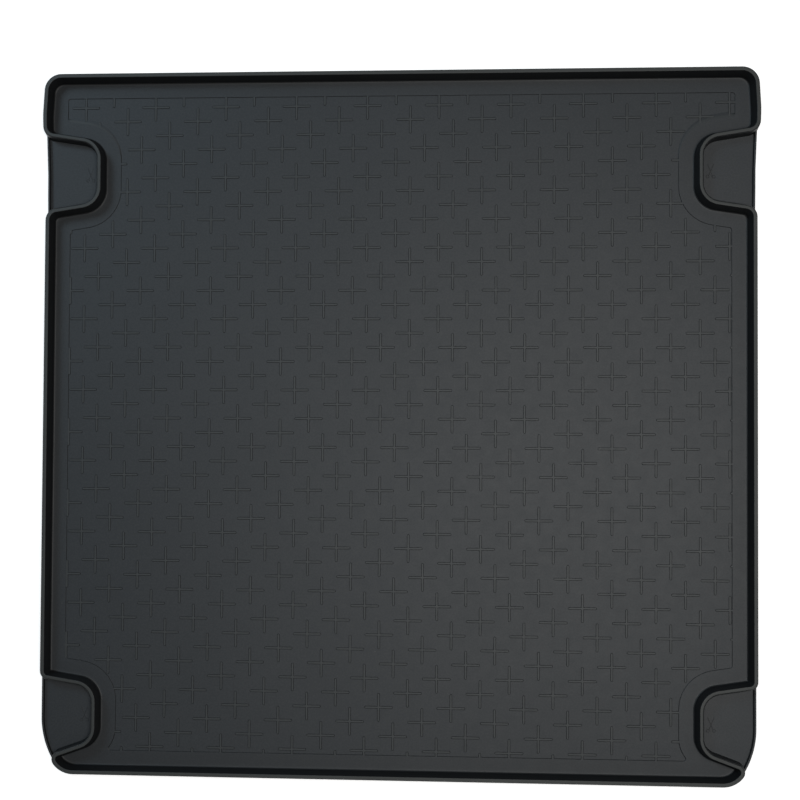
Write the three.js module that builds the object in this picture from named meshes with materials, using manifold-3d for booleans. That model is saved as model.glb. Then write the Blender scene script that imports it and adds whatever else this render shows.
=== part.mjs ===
// Car boot liner: one moulded sheet of soft plastic, with a floor, a leaning wall with a
// flanged rim, four pockets in the sides and a floor pattern of raised crosses.
// Millimetres. +X is to the right, +Y to the rear edge and +Z up.
// The origin is on the underside, in the middle of the outline.

import * as THREE from 'three';
import { mergeGeometries, mergeVertices } from 'three/addons/utils/BufferGeometryUtils.js';
import Module from 'manifold-3d';

const wasm = await Module();
wasm.setup();

// Outline, measured over the rim
const linerWidth = 1082;
const linerLength = 1077;
const sideBow = 6; // how far the sides bow out between the rear corners and the pockets
const sideBowAtCorner = 2.5; // what is left of the bow at the rear corner
const sideBowAtPocket = 5; // and at the rear pocket's mouth
const sideBowFromRear = 59; // distance of its fullest point from the rear edge
const sideBowRadius = 120;
const rearCornerRadius = 23; // of the rim's centre line, as are all the radii below
const frontCornerRadius = 36;
const frontCornerCut = 35; // how much of the front the slanted corner takes at each side
const frontCornerAngle = 52; // degrees between the front wall and the slanted corner

// Floor, wall and rim
const floorThickness = 3;
const wallThickness = 2.5;
const wallHeight = 25; // from the floor to the top of the rim
const wallLean = 3.4; // how far the wall leans out over that height
const wallFootRadius = 2.5;
const rimWidth = 6.2;
const rimThickness = 2.5;
const rimEdge = 0.9; // bevel of the rim's outer edge

// Pockets: a ridge as high as the rim runs round a raised shelf that has a low outer lip
const pocketDepth = 79.5; // from the side rim to the ridge, between centre lines
const pocketCornerRadius = 30;
const pocketFlankAngle = 9; // degrees by which a flank leans from square to the side
const rearPocketFromRear = 107; // from the rear edge to the rear pocket's first corner
const rearPocketRidge = 94.5; // length of its ridge, corner to corner
const frontPocketFromFront = 50;
const frontPocketRidge = 85.5;
const frontPocketLastAngle = 20; // degrees, the lean of the flank next to the front corner
const rearMouthRadius = 15; // where the rear pocket's ridge turns into the side wall
const frontMouthRadius = 9;
const ridgeLean = 2.3; // how far the ridge leans towards the shelf over its height
const ridgeSkin = 2.5;
const ridgeHollow = 0.8; // least width of the hollow under the ridge's top
const shelfRise = 5; // from the floor to the shelf
const shelfThickness = 3;
const lipRise = 7; // from the shelf to the top of the lip
const lipThickness = 3.3;
const lipFlare = 3; // how far the rear end of a lip next to a bowed side stands out
const leastLipInset = 0.8; // how far the lip's front end stands back from the side at least
const skirtDrop = 1 / 3; // share of the mouth's arc in which the skirt comes down

// Patterned field: lower than the plain band round it
const bandWidth = 23; // from the foot of the wall to the field
const fieldDepth = 0.8;
const fieldStepRun = 0.5; // how far the step slopes
const fieldCornerRadius = 4;
const fieldFlareAngle = 36; // degrees by which the field widens past the front pockets

// Raised crosses on a square grid that is turned by half a unit in one
const crossPitch = 22; // unit of the grid: centres lie two units along and one across
const crossArm = 21.5;
const crossWidth = 4.4;
const crossHeight = 0.75;
const crossRoot = 0.19; // how far a cross runs down into the floor
const crossRunIn = 1; // how far an arm runs into the band at the edge of the field
const crossOriginX = -23; // centre of the cross nearest the middle of the liner
const crossOriginY = 7;

const arcTolerance = 0.3; // how far an arc may stand off its chords
const leastRadius = 0.4;

// Places that follow from the driving sizes
const sideX = (linerWidth - rimWidth) / 2;
const rearY = (linerLength - rimWidth) / 2;
const frontY = -rearY;
const ridgeX = sideX - pocketDepth;
const rimTop = floorThickness + wallHeight;
const rimUnderside = rimTop - rimThickness;
const shelfTop = floorThickness + shelfRise;
const shelfUnderside = shelfTop - shelfThickness;
const lipTop = shelfTop + lipRise;
const fieldFloor = floorThickness - fieldDepth;
const fieldInset = rimWidth / 2 + wallLean + bandWidth;

const radians = THREE.MathUtils.degToRad;
const rise = (angle) => Math.tan(radians(angle));

/** A corner of an outline, the radius that rounds it, and how far the ridge's skirt has come
 *  down before and after it: 0 is a plain rim and 1 a skirt that reaches the shelf. */
function corner(x, y, radius, before = 0, after = before) {
  return { x, y, radius, chordRadius: radius, before, after };
}

/** Where the line through (x1, y1) at angle a1 meets the line through (x2, y2) at angle a2. */
function meeting(x1, y1, a1, x2, y2, a2) {
  const [c1, s1] = [Math.cos(radians(a1)), Math.sin(radians(a1))];
  const [c2, s2] = [Math.cos(radians(a2)), Math.sin(radians(a2))];
  const along = ((x2 - x1) * s2 - (y2 - y1) * c2) / (c1 * s2 - s1 * c2);
  return [x1 + along * c1, y1 + along * s1];
}

/** The pocket corners of the right side from front to rear, apart from the one where the front
 *  pocket's last flank meets the slanted front corner. */
function pocketCorners() {
  const frontRidgeEnd = -linerLength / 2 + frontPocketFromFront;
  const frontRidgeStart = frontRidgeEnd + frontPocketRidge;
  const rearRidgeStart = linerLength / 2 - rearPocketFromRear;
  const rearRidgeEnd = rearRidgeStart - rearPocketRidge;
  const flankRise = pocketDepth * rise(pocketFlankAngle);
  const bowedX = sideX + sideBowAtPocket;
  const rearFlankRise = (bowedX - ridgeX) * rise(pocketFlankAngle);
  return {
    frontRidgeEnd: corner(ridgeX, frontRidgeEnd, pocketCornerRadius, 1),
    frontRidgeStart: corner(ridgeX, frontRidgeStart, pocketCornerRadius, 1),
    frontMouth: corner(sideX, frontRidgeStart + flankRise, frontMouthRadius, 1, 0),
    rearMouth: corner(sideX, rearRidgeEnd - flankRise, rearMouthRadius, 0, 1),
    rearRidgeEnd: corner(ridgeX, rearRidgeEnd, pocketCornerRadius, 1),
    rearRidgeStart: corner(ridgeX, rearRidgeStart, pocketCornerRadius, 1),
    rearLobe: corner(bowedX, rearRidgeStart + rearFlankRise, rearMouthRadius, 1, 0),
  };
}

/** The closed outline of the rim's centre line, anticlockwise. */
function rimCorners() {
  const pockets = pocketCorners();
  const frontX = sideX + rimWidth / 2 - frontCornerCut;
  const ridgeEnd = pockets.frontRidgeEnd;
  const [closeX, closeY] = meeting(frontX, frontY, frontCornerAngle,
    ridgeEnd.x, ridgeEnd.y, -frontPocketLastAngle);
  const right = [
    corner(frontX, frontY, frontCornerRadius),
    corner(closeX, closeY, frontMouthRadius, 0, 1),
    ...Object.values(pockets),
    corner(sideX + sideBow, rearY - sideBowFromRear, sideBowRadius),
    corner(sideX + sideBowAtCorner, rearY, rearCornerRadius),
  ];
  return mirrored(right);
}

/** The closed outline that the patterned field follows before it is moved in from the rim. */
function fieldCorners() {
  const { frontRidgeEnd, rearLobe, ...pockets } = pocketCorners();
  const lastFlankTurn = 90 - frontPocketLastAngle;
  const arcCentreY = frontRidgeEnd.y + pocketCornerRadius * rise(lastFlankTurn / 2);
  const flareY = arcCentreY - pocketCornerRadius * rise(fieldFlareAngle / 2);
  const flareX = ridgeX + (flareY - frontY) * rise(fieldFlareAngle);
  const right = [
    corner(flareX, frontY, 0),
    corner(ridgeX, flareY, pocketCornerRadius),
    ...Object.values(pockets),
    corner(rearLobe.x, rearLobe.y, 0),
    corner(rearLobe.x, rearY, 0),
  ];
  return mirrored(right);
}

/** The right side's corners, front to rear, followed by their mirror images, rear to front. */
function mirrored(right) {
  const left = right.map((c) => corner(-c.x, c.y, c.radius, c.after, c.before)).reverse();
  return [...right, ...left];
}

/** Unit directions of the sides before and after a corner, and the signed turn between them. */
function sidesAt(corners, index) {
  const here = corners[index];
  const last = corners[(index + corners.length - 1) % corners.length];
  const next = corners[(index + 1) % corners.length];
  const into = new THREE.Vector2(here.x - last.x, here.y - last.y);
  const out = new THREE.Vector2(next.x - here.x, next.y - here.y);
  const lengths = [into.length(), out.length()];
  into.normalize();
  out.normalize();
  return { into, out, lengths, turn: Math.atan2(into.cross(out), into.dot(out)) };
}

/** Moves every side of an anticlockwise outline outwards by a distance. A corner that points
 *  out gains the distance in its radius, and a hollow one loses it. */
function moveSides(corners, distance, smallest = leastRadius) {
  return corners.map((here, index) => {
    const { into, out, turn } = sidesAt(corners, index);
    const mitre = distance / (1 + into.dot(out));
    const radius = Math.max(here.radius + distance * Math.sign(turn), smallest);
    const x = here.x + (into.y + out.y) * mitre;
    const y = here.y - (into.x + out.x) * mitre;
    return { ...here, x, y, radius };
  });
}

/** Even number of chords that follow an arc to within the tolerance. */
function arcSteps(radius, turn) {
  const chord = 2 * Math.acos(1 - arcTolerance / Math.max(radius, 2 * arcTolerance));
  return 2 * Math.ceil(Math.abs(turn) / chord / 2);
}

/** Rounds an outline's corners into points, each with its skirt. An arc that its two sides
 *  can't hold is made as large as they can. */
function roundCorners(corners) {
  const sides = corners.map((_, index) => sidesAt(corners, index));
  const reach = sides.map(({ turn }, i) => corners[i].radius * Math.tan(Math.abs(turn) / 2));
  return corners.flatMap((here, index) => {
    const { into, lengths, turn } = sides[index];
    const before = reach[(index + reach.length - 1) % reach.length];
    const after = reach[(index + 1) % reach.length];
    const fit = Math.min(1, lengths[0] / (before + reach[index]),
      lengths[1] / (reach[index] + after));
    const radius = here.radius * fit * Math.sign(turn);
    const startX = here.x - into.x * reach[index] * fit;
    const startY = here.y - into.y * reach[index] * fit;
    const steps = arcSteps(here.chordRadius, turn);
    return Array.from({ length: steps + 1 }, (_, step) => {
      const share = step / steps;
      const along = radius * Math.sin(turn * share);
      const across = radius * (1 - Math.cos(turn * share));
      const mix = here.before + (here.after - here.before) * share;
      const skirt = Math.min(1, mix / skirtDrop);
      const x = startX + into.x * along - into.y * across;
      const y = startY + into.y * along + into.x * across;
      return { x, y, skirt };
    });
  });
}

/** The wall's section at one point of the outline, from the edge of the underside out, up over
 *  the rim and in to the edge of the floor: pairs of distance from the centre line and height. */
function wallSection(skirt) {
  const halfRim = rimWidth / 2;
  const innerFace = (z) => -halfRim - wallLean * (rimTop - z) / wallHeight;
  const outerFace = (z) => innerFace(z) + wallThickness;
  const ridgeFace = (z) => halfRim + ridgeLean * (rimTop - z) / (rimTop - shelfTop);
  const mix = THREE.MathUtils.lerp;
  const skirtEnd = mix(rimUnderside, shelfUnderside, skirt);
  const hollowSide = Math.max(outerFace(rimUnderside) + ridgeHollow, halfRim - ridgeSkin);
  return [
    [outerFace(0), 0],
    [outerFace(rimUnderside), rimUnderside],
    [hollowSide, rimUnderside],
    [mix(hollowSide + ridgeHollow / 2, ridgeFace(shelfUnderside) - ridgeSkin, skirt), skirtEnd],
    [mix(halfRim, ridgeFace(shelfUnderside), skirt), skirtEnd],
    [halfRim, rimTop - rimEdge],
    [halfRim - rimEdge, rimTop],
    [-halfRim, rimTop],
    [innerFace(floorThickness + wallFootRadius), floorThickness + wallFootRadius],
    [innerFace(floorThickness) - wallFootRadius, floorThickness],
  ];
}

/** Turns a stack of rings of equally many points into a closed geometry with flat ends. */
function loft(rings) {
  const count = rings[0].length;
  const positions = rings.flat().flatMap((p) => [p.x, p.y, p.z]);
  const index = [];
  for (let ring = 0; ring < rings.length - 1; ring += 1) {
    for (let i = 0; i < count; i += 1) {
      const a = ring * count + i;
      const b = ring * count + (i + 1) % count;
      index.push(a, b, b + count, a, b + count, a + count);
    }
  }
  const top = (rings.length - 1) * count;
  flatEnd(rings[0]).forEach(([a, b, c]) => index.push(a, c, b));
  flatEnd(rings.at(-1)).forEach(([a, b, c]) => index.push(top + a, top + b, top + c));
  const geometry = new THREE.BufferGeometry();
  geometry.setAttribute('position', new THREE.Float32BufferAttribute(positions, 3));
  geometry.setIndex(index);
  return geometry;
}

/** Triangles that fill a flat ring, each anticlockwise. */
function flatEnd(ring) {
  const contour = ring.map((p) => new THREE.Vector2(p.x, p.y));
  return THREE.ShapeUtils.triangulateShape(contour, []).map(([a, b, c]) => {
    const turned = THREE.ShapeUtils.area([contour[a], contour[b], contour[c]]) < 0;
    return turned ? [a, c, b] : [a, b, c];
  });
}

/** A closed geometry as a solid. */
function toSolid(geometry) {
  const bare = geometry.clone();
  bare.deleteAttribute('normal');
  bare.deleteAttribute('uv');
  const merged = mergeVertices(bare);
  const vertProperties = merged.attributes.position.array;
  const triVerts = Uint32Array.from(merged.index.array);
  return new wasm.Manifold(new wasm.Mesh({ numProp: 3, vertProperties, triVerts }));
}

/** A solid as a geometry. */
function toGeometry(solid) {
  const { vertProperties, triVerts } = solid.getMesh();
  const geometry = new THREE.BufferGeometry();
  geometry.setAttribute('position', new THREE.BufferAttribute(vertProperties, 3));
  geometry.setIndex(new THREE.BufferAttribute(triVerts, 1));
  geometry.computeVertexNormals();
  return geometry;
}

/** The tray: the wall's section carried round the outline, and the floor inside it. */
function trayGeometry() {
  const corners = rimCorners();
  const skirts = roundCorners(corners).map((p) => p.skirt);
  const sections = skirts.map(wallSection);
  const rings = sections[0].map((_, ring) => {
    const offsets = sections.map((section) => section[ring][0]);
    const outlines = new Map();
    return offsets.map((offset, i) => {
      if (!outlines.has(offset)) outlines.set(offset, roundCorners(moveSides(corners, offset)));
      const { x, y } = outlines.get(offset)[i];
      return { x, y, z: sections[i][ring][1] };
    });
  });
  return loft(rings);
}

/** An outline of the field at a given distance from the rim's centre line, as a flat ring. */
function ringAt(corners, distance, z) {
  return roundCorners(moveSides(corners, distance, fieldCornerRadius)).map((p) => ({ ...p, z }));
}

/** What the patterned field takes out of the floor. Its sloping edge goes on above the floor. */
function fieldRecess() {
  const corners = fieldCorners();
  return loft([
    ringAt(corners, -fieldInset - fieldStepRun, fieldFloor),
    ringAt(corners, -fieldInset + fieldStepRun, floorThickness + fieldDepth),
  ]);
}

/** One cross: a cone of eight sides whose base points are drawn out to the four arms' tips and
 *  in to the four inner corners. It runs a little way down into the floor. */
function crossGeometry() {
  const height = crossHeight + crossRoot;
  const spread = height / crossHeight;
  const cone = new THREE.ConeGeometry(1, height, 8, 1);
  cone.rotateX(Math.PI / 2);
  cone.translate(0, 0, fieldFloor + crossHeight - height / 2);
  const innerCorner = crossWidth / Math.SQRT2;
  const point = cone.attributes.position;
  for (let i = 0; i < point.count; i += 1) {
    const [x, y] = [point.getX(i), point.getY(i)];
    const onArm = Math.min(Math.abs(x), Math.abs(y)) < Math.SQRT1_2 / 2;
    const reach = (onArm ? crossArm : innerCorner) * spread;
    point.setXY(i, x * reach, y * reach);
  }
  cone.deleteAttribute('normal');
  cone.deleteAttribute('uv');
  return mergeVertices(cone);
}

/** Whether a point lies inside a ring. */
function isInside(ring, x, y) {
  return ring.reduce((inside, a, i) => {
    const b = ring[(i + 1) % ring.length];
    const crosses = (a.y > y) !== (b.y > y) && x < a.x + (b.x - a.x) * (y - a.y) / (b.y - a.y);
    return crosses ? !inside : inside;
  }, false);
}

/** Centres of the crosses that have their middle or part of an arm in the field. */
function crossCentres(field) {
  const cells = Math.ceil(Math.hypot(linerWidth, linerLength) / crossPitch / Math.sqrt(5));
  const centres = [];
  for (let i = -cells; i <= cells; i += 1) {
    for (let j = -cells; j <= cells; j += 1) {
      const x = crossOriginX + crossPitch * (2 * i + j);
      const y = crossOriginY + crossPitch * (i - 2 * j);
      const reach = [0.25, 0.5, 0.75, 1].map((share) => share * crossArm);
      const touches = isInside(field, x, y) || reach.some((r) => isInside(field, x + r, y)
        || isInside(field, x - r, y) || isInside(field, x, y + r) || isInside(field, x, y - r));
      if (touches) centres.push([x, y]);
    }
  }
  return centres;
}

/** All the crosses, cut off just past the edge of the field. */
function crosses() {
  const corners = fieldCorners();
  const cross = crossGeometry();
  const copies = crossCentres(ringAt(corners, -fieldInset, 0)).map(([x, y]) => {
    return cross.clone().translate(x, y, 0);
  });
  const edge = -fieldInset + crossRunIn;
  const limits = loft([ringAt(corners, edge, 0), ringAt(corners, edge, rimTop)]);
  return toSolid(mergeGeometries(copies)).intersect(toSolid(limits));
}

/** The runs of points along the four ridges, at a distance from their centre line. */
function ridgeRuns(distance) {
  const ring = roundCorners(moveSides(rimCorners(), distance));
  const runs = [];
  ring.forEach((point, i) => {
    const onRidge = point.skirt > 0.5;
    const starts = onRidge && ring.at(i - 1).skirt <= 0.5;
    if (starts) runs.push([]);
    if (onRidge) runs.at(-1).push(point);
  });
  return runs;
}

/** The outer edge of a pocket's lip, from its rear end to its front end: straight for half the
 *  way, from the flare where there is one, then an arc that ends on the front end. */
function lipEdge(rearEnd, frontEnd) {
  const side = Math.sign(rearEnd.x);
  const outerX = linerWidth / 2;
  const bendY = (rearEnd.y + frontEnd.y) / 2;
  const inset = Math.max(outerX - Math.abs(frontEnd.x), leastLipInset);
  const drop = bendY - frontEnd.y;
  const radius = (inset * inset + drop * drop) / (2 * inset);
  const sweep = Math.asin(drop / radius);
  const steps = arcSteps(radius, sweep);
  const arc = Array.from({ length: steps + 1 }, (_, step) => {
    const angle = sweep * step / steps;
    const inward = new THREE.Vector2(-side * Math.cos(angle), Math.sin(angle));
    const x = side * (outerX - radius + radius * Math.cos(angle));
    return { x, y: bendY - radius * Math.sin(angle), inward };
  });
  const flare = Math.abs(rearEnd.x) > outerX + lipFlare ? lipFlare : 0;
  const start = { x: side * (outerX + flare), y: rearEnd.y, inward: arc[0].inward };
  return [start, ...arc];
}

/** A flat outline drawn up into a prism. */
function prism(points, bottom, top) {
  const shape = new THREE.Shape(points.map((p) => new THREE.Vector2(p.x, p.y)));
  const options = { depth: top - bottom, bevelEnabled: false };
  return new THREE.ExtrudeGeometry(shape, options).translate(0, 0, bottom);
}

/** A pocket's shelf, which ends inside the ridge's skin, with the lip along its outer edge.
 *  The lip's two ends run on under the rim. */
function shelf(run) {
  const fromRear = run[0].y > run.at(-1).y ? run : [...run].reverse();
  const outer = lipEdge(fromRear[0], fromRear.at(-1));
  const farthest = linerWidth / 2 - lipThickness / 2;
  const ridge = fromRear.filter((p) => p.skirt === 1).map(({ x, y }) => {
    return { x: THREE.MathUtils.clamp(x, -farthest, farthest), y };
  });
  const inner = outer.map(({ x, y, inward }) => {
    return { x: x + inward.x * lipThickness, y: y + inward.y * lipThickness };
  });
  const plate = toSolid(prism([...ridge, ...[...outer].reverse()], shelfUnderside, shelfTop));
  const lip = toSolid(prism([...outer, ...inner.reverse()], shelfUnderside, lipTop));
  return plate.add(lip);
}

/** The whole liner as one solid. */
function linerSolid() {
  const skinMiddle = rimWidth / 2 + ridgeLean - ridgeSkin / 2;
  const tray = toSolid(trayGeometry()).subtract(toSolid(fieldRecess())).add(crosses());
  return ridgeRuns(skinMiddle).map(shelf).reduce((body, part) => body.add(part), tray);
}

const rubber = new THREE.MeshStandardMaterial({ color: 0x34383a, roughness: 0.8, metalness: 0 });
const liner = new THREE.Mesh(toGeometry(linerSolid()), rubber);
liner.name = 'liner';

const model = new THREE.Group();
model.add(liner);

export default model;
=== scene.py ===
import math
import bmesh
import bpy
import numpy as np
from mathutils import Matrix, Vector
from mathutils.geometry import tessellate_polygon


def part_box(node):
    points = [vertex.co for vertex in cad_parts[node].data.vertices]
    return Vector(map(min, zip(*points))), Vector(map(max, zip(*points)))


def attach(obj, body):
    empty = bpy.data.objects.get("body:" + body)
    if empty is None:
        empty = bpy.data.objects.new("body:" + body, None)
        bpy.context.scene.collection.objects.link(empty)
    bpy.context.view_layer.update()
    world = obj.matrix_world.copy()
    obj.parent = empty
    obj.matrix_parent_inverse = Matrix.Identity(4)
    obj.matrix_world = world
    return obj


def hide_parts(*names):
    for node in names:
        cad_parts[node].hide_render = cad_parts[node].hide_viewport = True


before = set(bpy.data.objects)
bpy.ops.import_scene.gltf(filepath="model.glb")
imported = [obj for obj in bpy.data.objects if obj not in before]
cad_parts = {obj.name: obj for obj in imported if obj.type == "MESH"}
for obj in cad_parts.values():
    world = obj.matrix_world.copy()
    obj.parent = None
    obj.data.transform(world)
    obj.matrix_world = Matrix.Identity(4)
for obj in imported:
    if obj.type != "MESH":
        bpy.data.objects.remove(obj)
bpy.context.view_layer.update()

# Camera. It hangs 2.1 m above the liner, a little to the right of its middle, and looks almost
# straight down. Its turn, and the shift of the picture against its axis, are those of the
# photograph.
picture_side = 800  # pixels
focal_pixels = 1400
axis_pixel = (333.85, 431.0)  # where the camera's axis meets the picture
sensor_width = 36

camera = bpy.data.objects.new("camera", bpy.data.cameras.new("camera"))
camera.location = (0.0409, -0.0713, 2.1481)
camera.rotation_euler = [math.radians(degrees) for degrees in (1.608, 3.585, 0.382)]
camera.data.sensor_width = sensor_width
camera.data.lens = sensor_width * focal_pixels / picture_side
camera.data.shift_x = (picture_side / 2 - axis_pixel[0]) / picture_side
camera.data.shift_y = (axis_pixel[1] - picture_side / 2) / picture_side
bpy.context.scene.collection.objects.link(camera)
bpy.context.scene.camera = camera

# Tray. The liner is one sheet of soft black rubber, moulded in one go: a floor, a low wall that
# leans out under a flanged rim, and four pockets where the boot's sides bulge in. This section
# carries the wall's section round the rim's centre line, in millimetres, and fills the floor.
mm = 0.001
box_low, box_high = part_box("liner")
liner_length = (box_high.y - box_low.y) / mm
rim_top = box_high.z / mm
liner_width = 1082  # over the straight parts of the sides
rim_width = 6.2
side_bow, bow_at_corner, bow_at_pocket = 5.85, 2.5, 5
bow_from_rear = 59
bow_radius = 120
rear_corner_radius = 23
front_corner_radius, front_corner_cut, front_corner_angle = 36, 35, 52
pocket_depth = 79.5
pocket_corner_radius = 30
flank_angle, last_flank_angle = 9, 20  # degrees from square to the side
rear_pocket_from_rear, rear_pocket_ridge = 107, 94.5
front_pocket_from_front, front_pocket_ridge = 50, 85.5
rear_mouth_radius, front_mouth_radius = 15, 9

side_x = (liner_width - rim_width) / 2
rear_y = (liner_length - rim_width) / 2
ridge_x = side_x - pocket_depth
bowed_x = side_x + bow_at_pocket
flank_rise = math.tan(math.radians(flank_angle))
front_ridge = (-liner_length / 2 + front_pocket_from_front,
               -liner_length / 2 + front_pocket_from_front + front_pocket_ridge)
rear_ridge = (liner_length / 2 - rear_pocket_from_rear - rear_pocket_ridge,
              liner_length / 2 - rear_pocket_from_rear)
front_mouth_y = front_ridge[1] + pocket_depth * flank_rise
rear_mouth_y = rear_ridge[0] - pocket_depth * flank_rise

front_x = side_x + rim_width / 2 - front_corner_cut
slant, last_flank = math.radians(front_corner_angle), math.radians(-last_flank_angle)
slant_length = ((ridge_x - front_x) * math.sin(last_flank)
                - (front_ridge[0] + rear_y) * math.cos(last_flank)) / math.sin(last_flank - slant)
slant_end = (front_x + slant_length * math.cos(slant), -rear_y + slant_length * math.sin(slant))


def mirrored(right):
    """The right side's corners from front to rear, then their mirror images from rear to front,
    with their last two numbers swapped. A row is x, y, radius, and how far a change of section
    has gone before the corner and after it, as shares."""
    left = np.array(right)[::-1, [0, 1, 2, 4, 3]] * [-1, 1, 1, 1, 1]
    return np.concatenate([right, left])


rim_corners = mirrored([
    [front_x, -rear_y, front_corner_radius, 0, 0],
    [*slant_end, front_mouth_radius, 0, 1],
    [ridge_x, front_ridge[0], pocket_corner_radius, 1, 1],
    [ridge_x, front_ridge[1], pocket_corner_radius, 1, 1],
    [side_x, front_mouth_y, front_mouth_radius, 1, 0],
    [side_x, rear_mouth_y, rear_mouth_radius, 0, 1],
    [ridge_x, rear_ridge[0], pocket_corner_radius, 1, 1],
    [ridge_x, rear_ridge[1], pocket_corner_radius, 1, 1],
    [bowed_x, rear_ridge[1] + (bowed_x - ridge_x) * flank_rise, rear_mouth_radius, 1, 0],
    [side_x + side_bow, rear_y - bow_from_rear, bow_radius, 0, 0],
    [side_x + bow_at_corner, rear_y, rear_corner_radius, 0, 0],
])

arc_steps = 16  # of each corner


def outline(corners, distance, least_radius=0.4):
    """Rounded outline of an anticlockwise row of corners, moved out by a distance that may differ
    from point to point. A corner slides along the line that halves it, and its arc starts radius
    times the tangent of half the turn before it. From there a point runs ahead by radius times
    the sine of the turn so far, and sideways by radius times one minus its cosine. An arc that
    its two sides can't hold shrinks to what they can."""
    place, radius = corners[:, None, :2], corners[:, None, 2]
    side = np.roll(place, -1, 0) - place
    length = np.linalg.norm(side, axis=2)
    ahead = side / length[..., None]
    into = np.roll(ahead, 1, 0)
    turn = np.arctan2(into[..., 0] * ahead[..., 1] - into[..., 1] * ahead[..., 0],
                      (into * ahead).sum(2))
    half = np.tan(turn / 2)
    moved = np.maximum(radius + distance * np.sign(turn), least_radius)

    def reach(shift):
        own = np.roll(radius, shift, 0) + distance * np.roll(np.sign(turn), shift, 0)
        return np.maximum(own, least_radius) * abs(np.roll(half, shift, 0))

    room_before = np.roll(length, 1, 0) + distance * (np.roll(half, 1, 0) + half)
    room_after = length + distance * (half + np.roll(half, -1, 0))
    fit = np.minimum(1, np.minimum(room_before / (reach(1) + reach(0)),
                                   room_after / (reach(0) + reach(-1))))
    bend = turn * np.linspace(0, 1, arc_steps + 1)
    run = distance * half + fit * (moved * np.sin(abs(bend)) - reach(0))
    left = fit * moved * np.sign(turn) * (1 - np.cos(bend)) - distance
    x = place[..., 0] + into[..., 0] * run - into[..., 1] * left
    y = place[..., 1] + into[..., 1] * run + into[..., 0] * left
    return np.stack([x, y], -1).reshape(*x.shape[:-2], -1, 2)


floor_top = 3
wall_thickness = 2.5
wall_lean = 3.4  # over the wall's whole height
rim_thickness = 2.5
rim_outer_radius, rim_inner_radius = 2.4, 1.1
rim_lower_radius, under_rim_radius = 0.6, 1.2
wall_foot_radius, outer_foot_radius = 3, 1.2
ridge_lean = 2.3  # from the shelf to the rim's top
ridge_skin = 2.5
ridge_hollow = 0.8
hollow_radius, skin_inner_radius = 0.5, 0.3
shelf_top, shelf_thickness = 8, 3
skirt_drop = 1 / 3  # share of a mouth's arc in which the ridge's skirt comes down
section_steps = 5


def wall_section(skirt):
    """Corners of the wall's section, as distance from the centre line and height, from the
    underside out, up over the rim and in to the floor. Each runs in a straight line from its
    place under a plain rim, at a skirt of 0, to its place in a ridge, at a skirt of 1."""
    half_rim = rim_width / 2
    lean = wall_lean / (rim_top - floor_top)
    rim_under = rim_top - rim_thickness
    shelf_under = shelf_top - shelf_thickness
    inner_top, inner_foot = -half_rim, -half_rim - lean * (rim_top - floor_top)
    outer_top = -half_rim - lean * rim_thickness + wall_thickness
    outer_foot = -half_rim - lean * rim_top + wall_thickness
    ridge_foot = half_rim + ridge_lean * (rim_top - shelf_under) / (rim_top - shelf_top)
    hollow = max(outer_top + ridge_hollow, half_rim - ridge_skin)
    support = 3
    plain = [[outer_foot - support, 0], [outer_foot, 0], [outer_top, rim_under],
             [hollow, rim_under], [hollow + ridge_hollow / 2, rim_under],
             [half_rim, rim_under], [half_rim, rim_top], [inner_top, rim_top],
             [inner_foot, floor_top], [inner_foot - support - wall_foot_radius, floor_top]]
    ridge = [*plain[:4], [ridge_foot - ridge_skin, shelf_under], [ridge_foot, shelf_under],
             *plain[6:]]
    plain, ridge = np.array(plain)[..., None], np.array(ridge)[..., None]
    return plain + (ridge - plain) * skirt


def softened(corners, radii):
    """Turns the inner corners of an open section into arcs. Each arc is a rational quadratic
    curve between two points equally far from the corner, weighted there by the cosine of half
    the turn, which makes it a circle's. It takes up less than half of the sides next to it."""
    share = np.linspace(0, 1, section_steps + 1)[:, None, None]
    parts = [corners[:1]]
    for last, here, on, radius in zip(corners[:-2], corners[1:-1], corners[2:], radii):
        back_length = np.linalg.norm(last - here, axis=0)
        on_length = np.linalg.norm(on - here, axis=0)
        back, forth = (last - here) / back_length, (on - here) / on_length
        weight = np.sqrt(np.maximum(1 - (back * forth).sum(0), 0) / 2)
        tangent = np.sqrt(1 - np.minimum(weight, 1) ** 2) / np.maximum(weight, 0.1)
        reach = np.minimum(radius * tangent, 0.45 * np.minimum(back_length, on_length))
        start, end = here + back * reach, here + forth * reach
        near, mid, far = (1 - share) ** 2, 2 * share * (1 - share) * weight, share ** 2
        parts.append((near * start + mid * here + far * end) / (near + mid + far))
    return np.concatenate([*parts, corners[-1:]])


def strips(rings, points, start=0):
    """Quads between each ring of points and the next, with the first point after the last."""
    lower = start + np.arange((rings - 1) * points).reshape(rings - 1, points)
    after = np.roll(lower, -1, 1)
    return np.stack([lower, after, after + points, lower + points], -1).reshape(-1, 4)


def filled(loops, upwards):
    """Triangles that fill a flat outline with holes, turned to face up or down. A loop is its
    points' indices and their x and y."""
    indices = np.concatenate([index for index, _ in loops])
    flat = np.concatenate([points for _, points in loops])
    corners = np.array(tessellate_polygon([[(x, y, 0) for x, y in points] for _, points in loops]))
    a, b, c = flat[corners].transpose(1, 2, 0)
    area = (b[0] - a[0]) * (c[1] - a[1]) - (b[1] - a[1]) * (c[0] - a[0])
    turned = (area > 0) != upwards
    corners[turned] = corners[turned][:, ::-1]
    return indices[corners]


least_gap = 0.01  # points nearer than this are one


def solid(name, points, *faces):
    """A closed mesh from points in millimetres and arrays of faces."""
    mesh = bpy.data.meshes.new(name)
    mesh.from_pydata((points.reshape(-1, 3) * mm).tolist(), [],
                     [face for group in faces for face in group.tolist()])
    closed = bmesh.new()
    closed.from_mesh(mesh)
    bmesh.ops.remove_doubles(closed, verts=closed.verts, dist=least_gap * mm)
    closed.to_mesh(mesh)
    closed.free()
    made = bpy.data.objects.new(name, mesh)
    bpy.context.scene.collection.objects.link(made)
    return made


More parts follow.
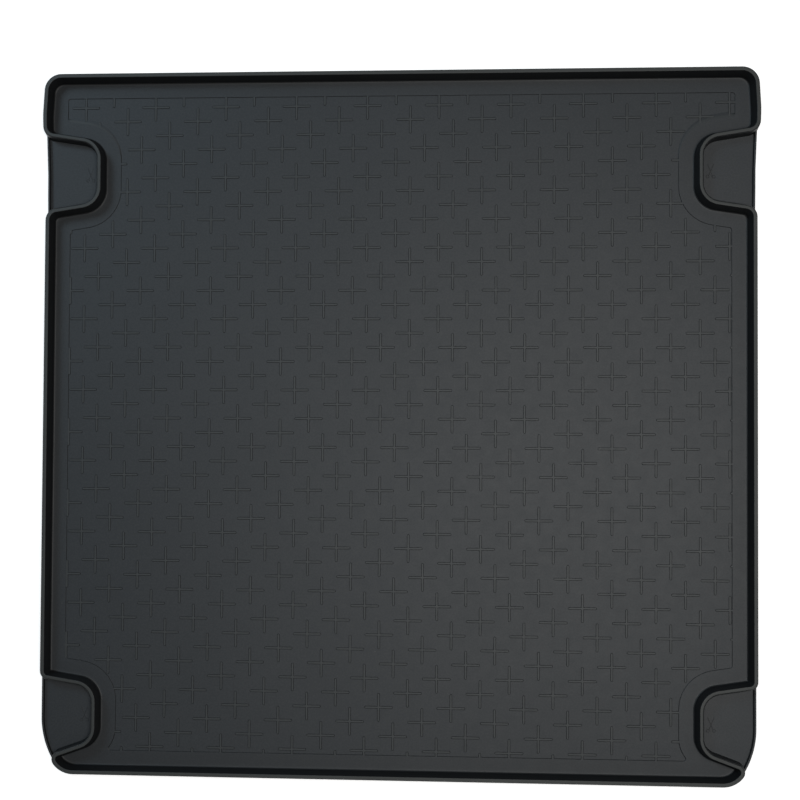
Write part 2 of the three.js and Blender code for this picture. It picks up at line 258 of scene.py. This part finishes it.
skirts = rim_corners[:, 3:4] + (rim_corners[:, 4:] - rim_corners[:, 3:4]) * np.linspace(
    0, 1, arc_steps + 1)
skirts = np.minimum(1, skirts / skirt_drop)
section = softened(wall_section(skirts.ravel()), [
    outer_foot_radius, under_rim_radius, hollow_radius, skin_inner_radius,
    rim_lower_radius, rim_outer_radius, rim_inner_radius, wall_foot_radius])
wall_rings = outline(rim_corners, section[:, 0].reshape(-1, *skirts.shape))
wall_points = np.concatenate([wall_rings, section[:, 1, :, None]], -1)

# Patterned field. The middle of the floor lies 0.8 mm lower than the plain band round it, behind
# a small rounded step. The step keeps 23 mm from the foot of the wall, except that it cuts
# straight across the ends of the pockets' front flanks. Behind the rear pockets it runs out into
# a long slope that hardly shows.
band_width = 23
field_depth = 0.8
step_run = 0.8
faded_run = 8  # of the long slope
step_radius = 0.2
field_corner_radius = 4
flare_angle = 36
field_inset = rim_width / 2 + wall_lean + band_width
field_floor = floor_top - field_depth

arc_centre_y = front_ridge[0] + pocket_corner_radius * math.tan(
    math.radians((90 - last_flank_angle) / 2))
flare_y = arc_centre_y - pocket_corner_radius * math.tan(math.radians(flare_angle / 2))
flare_x = ridge_x + (flare_y + rear_y) * math.tan(math.radians(flare_angle))
field_corners = mirrored([
    [flare_x, -rear_y, 0, 0, 0],
    [ridge_x, flare_y, pocket_corner_radius, 0, 0],
    [ridge_x, front_ridge[1], pocket_corner_radius, 0, 0],
    [side_x, front_mouth_y, front_mouth_radius, 0, 0],
    [side_x, rear_mouth_y, rear_mouth_radius, 0, 0],
    [ridge_x, rear_ridge[0], pocket_corner_radius, 0, 0],
    [ridge_x, rear_ridge[1], pocket_corner_radius, 0, 1],
    [bowed_x, rear_ridge[1] + (bowed_x - ridge_x) * flank_rise, 0, 1, 0],
    [bowed_x, rear_y, 0, 0, 0],
])


def field_outline(distance):
    """The field's outline, a distance out from its edge at the top of the step."""
    return outline(field_corners, distance - field_inset, field_corner_radius)


fades = field_corners[:, 3:4] + (field_corners[:, 4:] - field_corners[:, 3:4]) * np.linspace(
    0, 1, arc_steps + 1)
runs = step_run + (faded_run - step_run) * fades.ravel()
upright_step = np.array([[1.5, floor_top], [0.1, floor_top],
                         [0.1, field_floor], [-1.5, field_floor]])
foot_shift = np.array([[0, 0], [0, 0], [-1, 0], [-1, 0]])
step_corners = upright_step[..., None] + foot_shift[..., None] * runs
step_section = softened(step_corners, [step_radius] * 2)
step_rings = field_outline(step_section[:, 0].reshape(-1, *fades.shape))
step_points = np.concatenate([step_rings, step_section[:, 1, :, None]], -1)

wall_count, step_count = wall_points.shape[1], step_points.shape[1]
wall_total = wall_points.shape[0] * wall_count
step_total = step_points.shape[0] * step_count
underside_loop = (np.arange(wall_count), wall_rings[0])
band_outer = (wall_total - wall_count + np.arange(wall_count), wall_rings[-1])
band_inner = (wall_total + np.arange(step_count), step_rings[0])
field_loop = (wall_total + step_total - step_count + np.arange(step_count), step_rings[-1])
liner = solid(
    "moulded_liner",
    np.concatenate([wall_points.reshape(-1, 3), step_points.reshape(-1, 3)]),
    strips(wall_points.shape[0], wall_count),
    strips(step_points.shape[0], step_count, wall_total),
    filled([underside_loop], upwards=False),
    filled([band_outer, band_inner], upwards=True),
    filled([field_loop], upwards=True),
)


def combine(body, other, operation):
    """Joins a closed mesh to another, or cuts it to what both hold, and removes the other."""
    cut = body.modifiers.new("cut", "BOOLEAN")
    cut.solver = "MANIFOLD"
    cut.operation = operation
    cut.object = other
    bpy.context.view_layer.update()
    shaped = body.evaluated_get(bpy.context.evaluated_depsgraph_get())
    mesh = bpy.data.meshes.new_from_object(shaped)
    body.modifiers.clear()
    body.data = mesh
    bpy.data.objects.remove(other)


# Raised crosses. They stand in the field, cast with it, on a square grid that is turned by half
# a unit in one. An arm is a low bead with a half-round end, and where it meets the step it runs
# into the band and breaks the step's line.
cross_pitch = 22  # centres lie two units along and one across
cross_arm = 21.8
cross_half_width = 2.0
cross_height = 0.75
cross_run_in = 1
cross_origin = (-23, 7)
arm_tip_steps = 4
bead_levels = [(-0.5, 0), (0, 0.05), (0.94, 0.7), (1, 0.9)]  # share of height, how far in


def inside(ring, points):
    """Whether each point lies in a ring: a ray from it crosses the ring an odd number of times."""
    x, y = points[..., 0, None], points[..., 1, None]
    ax, ay = ring.T
    bx, by = np.roll(ring, -1, 0).T
    with np.errstate(divide="ignore", invalid="ignore"):
        met = ((ay > y) != (by > y)) & (x < ax + (bx - ax) * (y - ay) / (by - ay))
    return met.sum(-1) % 2 == 1


def cross_rings():
    """One cross as rings of points, one for each level, as complex numbers: an arm's half-round
    tip, and the inner corner after it, turned to the four sides by powers of i."""
    levels = np.array([moved_in for _, moved_in in bead_levels])[:, None]
    half_width = cross_half_width - levels
    sweep = np.exp(1j * np.linspace(-math.pi / 2, math.pi / 2, arm_tip_steps + 1))
    tips = cross_arm - cross_half_width + half_width * sweep
    arm = np.concatenate([tips, half_width * (1 + 1j)], 1)
    return (arm[:, None] * (1j ** np.arange(4))[:, None]).reshape(len(bead_levels), -1)


def upright(name, ring, bottom, top):
    """A flat anticlockwise outline drawn up into a closed solid."""
    count = len(ring)
    points = np.array([[*point, height] for height in (bottom, top) for point in ring])
    lids = np.arange(count)
    return solid(name, points, strips(2, count), lids[None, ::-1], lids[None] + count)


field_edge = field_outline(0)
span = math.ceil(math.hypot(liner_width, liner_length) / cross_pitch / math.sqrt(5))
along, across = np.mgrid[-span:span + 1, -span:span + 1]
centres = np.stack([cross_origin[0] + cross_pitch * (2 * along + across),
                    cross_origin[1] + cross_pitch * (along - 2 * across)], -1).reshape(-1, 2)
feelers = np.array([[share * dx, share * dy] for share in (0, 0.25, 0.5, 0.75, 1)
                    for dx, dy in ((1, 0), (-1, 0), (0, 1), (0, -1))]) * cross_arm
centres = centres[inside(field_edge, centres[:, None] + feelers).any(1)]

rings = cross_rings()
levels, ring_points = rings.shape
heights = field_floor + cross_height * np.array([height for height, _ in bead_levels])
spots = np.empty((len(centres), levels, ring_points, 3))
spots[..., 0] = centres[:, 0, None, None] + rings.real
spots[..., 1] = centres[:, 1, None, None] + rings.imag
spots[..., 2] = heights[:, None]
starts = np.arange(len(centres))[:, None, None] * levels * ring_points
ends = np.arange(ring_points)
crosses = solid(
    "crosses", spots,
    (starts + strips(levels, ring_points)).reshape(-1, 4),
    (starts[..., 0] + ends[::-1]),
    (starts[..., 0] + ends + (levels - 1) * ring_points),
)
limit = upright("limit", field_outline(cross_run_in), 0, rim_top)
combine(crosses, limit, "INTERSECT")
combine(liner, crosses, "UNION")

# Pocket shelves. Behind each ridge a shelf lies 5 mm over the floor, with a low lip along its
# outer edge. The lip follows the side for half of the mouth and then bends in. At a rear pocket
# its rear end flares out to meet the bowed side. Both ends close the notch where the ridge's
# skirt rises to the rim.
lip_height = 7
lip_thickness = 3.3
lip_flare = 3
lip_run_in = 3.5  # of its rear end beside the wall
lip_edge_radius = 1.1
least_lip_inset = 0.8
lip_steps = 24
skin_middle = rim_width / 2 + ridge_lean - ridge_skin / 2


def lip_path(rear_end, front_end):
    """Points of the lip's outer face from rear to front, and the unit vector into the pocket at
    each: straight from beside the wall to the middle of the mouth, and then an arc that leaves
    the side and ends at the front end's distance from it."""
    side = math.copysign(1, rear_end[0])
    outer_x = liner_width / 2
    bend_y = (rear_end[1] + front_end[1]) / 2
    drop = bend_y - front_end[1]
    inset = max(outer_x - abs(front_end[0]), least_lip_inset)
    radius = (inset * inset + drop * drop) / (2 * inset)
    angle = np.linspace(0, math.asin(drop / radius), lip_steps + 1)
    flare = lip_flare if abs(rear_end[0]) > outer_x + lip_flare else 0
    x = np.append(outer_x + flare, outer_x - radius + radius * np.cos(angle))
    y = np.append(rear_end[1] + lip_run_in, bend_y - radius * np.sin(angle))
    turn = np.append(0, angle)
    inward = np.stack([-side * np.cos(turn), np.sin(turn)], -1)
    return np.stack([side * x, y], -1), inward


def anticlockwise(ring):
    """The ring, turned round if it runs clockwise."""
    x, y = ring.T
    area = (x * np.roll(y, -1) - y * np.roll(x, -1)).sum()
    return ring if area > 0 else ring[::-1]


ridge_line = outline(rim_corners, np.full(skirts.shape, skin_middle)).reshape(*skirts.shape, 2)
pocket_corners = 4
first_corners = (1, 5, len(rim_corners) - 9, len(rim_corners) - 5)  # one for each pocket
for first in first_corners:
    own = slice(first, first + pocket_corners)
    run = ridge_line[own].reshape(-1, 2)
    skirt = skirts[own].ravel()
    if run[0, 1] < run[-1, 1]:
        run, skirt = run[::-1], skirt[::-1]
    mouth = run[skirt > 0]
    outer, inward = lip_path(mouth[0], mouth[-1])
    ridge = run[skirt == 1].copy()
    farthest = liner_width / 2 - lip_thickness / 2
    ridge[:, 0] = np.clip(ridge[:, 0], -farthest, farthest)
    plate = anticlockwise(np.concatenate([ridge, outer[::-1]]))
    combine(liner, upright("shelf", plate, shelf_top - shelf_thickness, shelf_top), "UNION")

    lip_top = shelf_top + lip_height
    lip_section = softened(np.array([
        [0, shelf_top - shelf_thickness], [0, lip_top], [lip_thickness, lip_top],
        [lip_thickness, shelf_top - shelf_thickness]])[..., None], [lip_edge_radius] * 2)[..., 0]
    lip_points = np.concatenate([
        outer + inward * lip_section[:, :1, None],
        np.broadcast_to(lip_section[:, 1:, None], (len(lip_section), len(outer), 1))], -1)
    lip_points = lip_points.transpose(1, 0, 2)
    if outer[0, 0] < 0:
        lip_points = lip_points[:, ::-1]
    count = len(lip_section)
    lids = np.arange(count)
    lip = solid("lip", lip_points, strips(len(outer), count),
                lids[None, ::-1], lids[None] + (len(outer) - 1) * count)
    combine(liner, lip, "UNION")

# Rubber finish. The rubber is coloured through, matt and finely grained and a little uneven in
# tone. Its steep faces and the floor along the foot of the wall are painted darker, as shade. The
# rim and the tops of the crosses are drawn lighter, partly as wear from use and partly as a
# painted highlight. Dust specks and faint rubs lie on it. A pair of scissors, the common sign for
# a place to cut, is moulded in each shelf.
foot_ring = wall_rings[-1]
floor_reach = 26  # how far the floor stays a little darker along the wall
points = np.empty(len(liner.data.vertices) * 3)
liner.data.vertices.foreach_get("co", points)
points = points.reshape(-1, 3)[:, :2] / mm
ring_side = np.roll(foot_ring, -1, 0) - foot_ring
from_wall = np.full(len(points), float(floor_reach))
# The least distance of every point from the sides of the ring, taken side by side.
for start, side in zip(foot_ring, ring_side):
    if side @ side > 0:
        share = np.clip((points - start) @ side / (side @ side), 0, 1)
        gap = np.linalg.norm(points - start - share[:, None] * side, axis=1)
        from_wall = np.minimum(from_wall, gap)
openness = liner.data.attributes.new("openness", "FLOAT", "POINT")
openness.data.foreach_set("value", from_wall / floor_reach)


class Wire:
    """An output of a shader node, which adds, subtracts, multiplies and compares as numbers do."""

    def __init__(self, nodes, socket):
        self.nodes = nodes
        self.socket = socket

    def maths(self, operation, first, second):
        return self.nodes.make("Math", {"operation": operation}, {0: first, 1: second})

    def __add__(self, other):
        return self.maths("ADD", self, other)

    def __sub__(self, other):
        return self.maths("SUBTRACT", self, other)

    def __rsub__(self, other):
        return self.maths("SUBTRACT", other, self)

    def __mul__(self, other):
        return self.maths("MULTIPLY", self, other)

    def __abs__(self):
        return self.maths("ABSOLUTE", self, 0.0)

    def __gt__(self, other):
        return self.maths("GREATER_THAN", self, other)

    __radd__ = __add__
    __rmul__ = __mul__


class Nodes:
    """The shader nodes of one material or world."""

    def __init__(self, owner):
        owner.use_nodes = True
        self.tree = owner.node_tree
        self.tree.nodes.clear()

    def make(self, kind, settings, inputs, output=0):
        """Adds a node, sets its settings, then its inputs, and gives one of its outputs, or
        nothing from a node that has none."""
        node = self.tree.nodes.new("ShaderNode" + kind)
        for name, value in settings.items():
            setattr(node, name, value)
        for name, value in inputs.items():
            if isinstance(value, Wire):
                self.tree.links.new(value.socket, node.inputs[name])
            else:
                node.inputs[name].default_value = value
        return Wire(self, node.outputs[output]) if node.outputs else None

    def noise(self, place, scale, detail=2.0, roughness=0.5):
        return self.make("TexNoise", {}, {
            "Vector": place, "Scale": scale, "Detail": detail, "Roughness": roughness})

    def between(self, value, low, high):
        """0 below low, 1 above high and a smooth slope between."""
        return self.make("MapRange", {"interpolation_type": "SMOOTHSTEP"}, {
            "Value": value, "From Min": low, "From Max": high})

    def mix(self, share, first, second):
        return self.make("Mix", {"data_type": "RGBA"}, {0: share, 6: first, 7: second}, 2)


rubber_dark = (0.0130, 0.0170, 0.0212, 1)
rubber_light = (0.0192, 0.0232, 0.0275, 1)
# The darkest colour paints shade on steep faces and along the wall's foot, and draws the moulded
# marks.
shade_and_mark_dark = (0.003, 0.004, 0.005, 1)
# Lighter colour for the rim's top: wear from use and a painted highlight.
rim_polish_and_highlight = (0.029, 0.032, 0.031, 1)
# Lighter colour for the crosses' tops: wear from use and a painted highlight.
cross_top_polish_and_highlight = (0.027, 0.031, 0.033, 1)
dust = (0.10, 0.10, 0.095, 1)

rubber = bpy.data.materials.new("matt_rubber")
nodes = Nodes(rubber)
place = nodes.make("TexCoord", {}, {}, "Object")
height = nodes.make("SeparateXYZ", {}, {0: place}, "Z")
facing = nodes.make("NewGeometry", {}, {}, "True Normal")
steep, flat = 0.90, 0.995  # how far up a face points
level = nodes.between(nodes.make("SeparateXYZ", {}, {0: facing}, "Z"), steep, flat)
clouds = nodes.noise(place, 3.5, 3)
mottle = nodes.noise(place, 60, 4, 0.6)
grain = nodes.noise(place, 900, 3, 0.6)
fleck = nodes.noise(place, 380, 2, 0.5)
tone = nodes.between(clouds * 0.25 + mottle * 0.1 + fleck * 0.65, 0.44, 0.56)
colour = nodes.mix(tone, rubber_dark, rubber_light)
# Painted shade: the floor is drawn a little darker near the foot of the wall, fading out over
# floor_reach.
open_floor = nodes.make("Attribute", {"attribute_name": "openness"}, {}, "Fac")
wall_shade = 0.2
colour = nodes.mix((1 - nodes.between(open_floor, 0, 1)) * wall_shade, colour, shade_and_mark_dark)
# Painted highlight and wear: the rim's top is drawn lighter.
rim_wear_and_highlight = nodes.between(height, (rim_top - 1.2) * mm, (rim_top - 0.2) * mm)
colour = nodes.mix(rim_wear_and_highlight, colour, rim_polish_and_highlight)
# Painted highlight and wear: the tops of the crosses in the field are drawn lighter.
cross_low, cross_high = field_floor + 0.3, field_floor + 0.6
cross_top_wear_and_highlight = nodes.between(height, cross_low * mm, cross_high * mm) * (
    (floor_top - 0.02) * mm - height > 0)
colour = nodes.mix(cross_top_wear_and_highlight, colour, cross_top_polish_and_highlight)
# Painted shade: faces that lean away from straight up are drawn darker, down to the darkest colour
# on steep ones.
colour = nodes.mix(level, shade_and_mark_dark, colour)


def marks(spot, scale, radius, share):
    """Round spots of a radius, in a share of the cells of a random pattern."""
    cells = {"Vector": spot, "Scale": scale, "Randomness": 1}
    distance = nodes.make("TexVoronoi", {"feature": "F1"}, cells)
    draw = nodes.make("SeparateColor", {}, {0: nodes.make("TexVoronoi", {}, cells, "Color")})
    return (1 - nodes.between(distance, radius * 0.6, radius)) * (draw > 1 - share)


specks = marks(place, 70, 0.06, 0.012)
rub_frame = nodes.make("Mapping", {}, {
    "Vector": place, "Rotation": (0, 0, math.radians(-32)), "Scale": (1, 0.12, 1)})
rubs = marks(rub_frame, 130, 0.1, 0.004)
colour = nodes.mix(specks * 0.6 + rubs * 0.25, colour, dust)

sign_x, rear_sign_y, front_sign_y = 475.3, 384, -450  # the scissors' pivots
blade_length, blade_spread = 11, 0.42  # the spread is sideways per unit of length
ring_place, ring_radius = (4.6, -8.2), 2.1
stroke = 0.55  # half the width of a line
sideways = abs(nodes.make("SeparateXYZ", {}, {0: place}, "X") * (1 / mm))
rearward = nodes.make("SeparateXYZ", {}, {0: place}, "Y") * (1 / mm)
off_middle = abs(sideways - sign_x)
above = rearward - front_sign_y - (rearward > 0) * (rear_sign_y - front_sign_y)
off_blade = abs(off_middle - abs(above) * blade_spread)
on_blade = (1 - nodes.between(off_blade, stroke * 0.5, stroke * 1.3)) * (
    above > ring_place[1] + ring_radius) * (blade_length - above > 0)
from_ring = nodes.make("CombineXYZ", {}, {
    0: off_middle - ring_place[0], 1: above - ring_place[1]})
off_ring = abs(nodes.make("VectorMath", {"operation": "LENGTH"}, {0: from_ring}, 1) - ring_radius)
on_ring = 1 - nodes.between(off_ring, stroke * 0.5, stroke * 1.3)
sign = nodes.make("Math", {"operation": "MAXIMUM"}, {0: on_blade, 1: on_ring})
colour = nodes.mix(sign * 0.65, colour, shade_and_mark_dark)

dot_radius = 1  # of the small marks that the mould's pins leave
dots = 0
for dot_x, dot_y in ((456, -434.5), (456, -464), (456.5, 372)):
    spot = nodes.make("CombineXYZ", {}, {0: sideways - dot_x, 1: rearward - dot_y})
    gap = nodes.make("VectorMath", {"operation": "LENGTH"}, {0: spot}, 1)
    dots = dots + (1 - nodes.between(gap, dot_radius * 0.5, dot_radius * 1.3))
colour = nodes.mix(dots * 0.8, colour, shade_and_mark_dark)

pores = nodes.noise(place, 2600, 2, 0.5)
relief = nodes.make("Bump", {}, {
    "Strength": 0.4, "Distance": 0.0002, "Height": grain * 0.7 + pores * 0.3}, "Normal")
waves = nodes.noise(place, 5, 1)
relief = nodes.make("Bump", {}, {
    "Strength": 0.4, "Distance": 0.002, "Height": waves, "Normal": relief}, "Normal")
relief = nodes.make("Bump", {}, {
    "Strength": 0.5, "Distance": 0.0004, "Height": sign, "Normal": relief}, "Normal")
roughness = 0.5 + mottle * 0.08
finish = nodes.make("BsdfPrincipled", {}, {
    "Base Color": colour, "Roughness": roughness, "Normal": relief,
    "IOR": 1.5, "Specular IOR Level": 0.5})
nodes.make("OutputMaterial", {}, {"Surface": finish})

liner.data.materials.clear()
liner.data.materials.append(rubber)
sharp_angle = 30
liner.data.polygons.foreach_set("use_smooth", [True] * len(liner.data.polygons))
liner.data.set_sharp_from_angle(angle=math.radians(sharp_angle))

weighted = liner.modifiers.new("even_shading", "WEIGHTED_NORMAL")
weighted.keep_sharp = True
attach(liner, "root")
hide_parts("liner")

# Studio. A white sweep of paper that goes on past the picture and rises at its far edge, a wide
# soft lamp overhead, a weaker cool one to the left, and a dim even light from all round.
sweep_rings = [(11, 0), (12, 0.25), (14, 1.9)]  # radius and height in metres
sweep_turns = 96
turn = np.linspace(0, 2 * math.pi, sweep_turns, endpoint=False)
sweep_points = np.array([[radius * np.cos(turn), radius * np.sin(turn), rise + 0 * turn]
                         for radius, rise in sweep_rings]).transpose(0, 2, 1)
floor_mesh = bpy.data.meshes.new("studio_floor")
floor_mesh.from_pydata(sweep_points.reshape(-1, 3).tolist(), [], [
    list(range(sweep_turns)), *strips(len(sweep_rings), sweep_turns)[:, ::-1].tolist()])
studio_floor = bpy.data.objects.new("studio_floor", floor_mesh)
studio_floor.location.z = -0.0005
bpy.context.scene.collection.objects.link(studio_floor)

paper = bpy.data.materials.new("white_paper")
nodes = Nodes(paper)
seen = nodes.make("LightPath", {}, {}, "Is Camera Ray")
mirrored_ray = nodes.make("LightPath", {}, {}, "Is Glossy Ray")
passed_ray = nodes.make("LightPath", {}, {}, "Is Transmission Ray")
matt = nodes.make("BsdfDiffuse", {}, {"Color": (0.8, 0.8, 0.8, 1)})
glow = nodes.make("Emission", {}, {
    "Color": (1, 1, 1, 1), "Strength": (seen + mirrored_ray + passed_ray) * 0.65})
both = nodes.make("AddShader", {}, {0: matt, 1: glow})
nodes.make("OutputMaterial", {}, {"Surface": both})
floor_mesh.materials.append(paper)

world = bpy.data.worlds.new("studio_air")
nodes = Nodes(world)
air = nodes.make("Background", {}, {"Color": (1, 1, 1, 1), "Strength": 0.10})
nodes.make("OutputWorld", {}, {"Surface": air})
bpy.context.scene.world = world


def lamp(name, place, target, size, power, colour):
    """A square soft lamp at a place, turned towards a target."""
    light = bpy.data.lights.new(name, "AREA")
    light.size = size
    light.energy = power
    light.color = colour
    away = Vector(place) - Vector(target)
    made = bpy.data.objects.new(name, light)
    made.location = place
    made.rotation_euler = away.to_track_quat("Z", "Y").to_euler()
    bpy.context.scene.collection.objects.link(made)


lamp("overhead_lamp", (0.62, -0.1, 3.2), (0.1, 0, 0), 1.4, 50, (1.0, 0.984, 0.952))
lamp("left_lamp", (-2.3, 1.9, 2.9), (0, 0, 0), 1.2, 43, (0.64, 0.85, 1.0))

bpy.context.scene.view_settings.view_transform = "Standard"
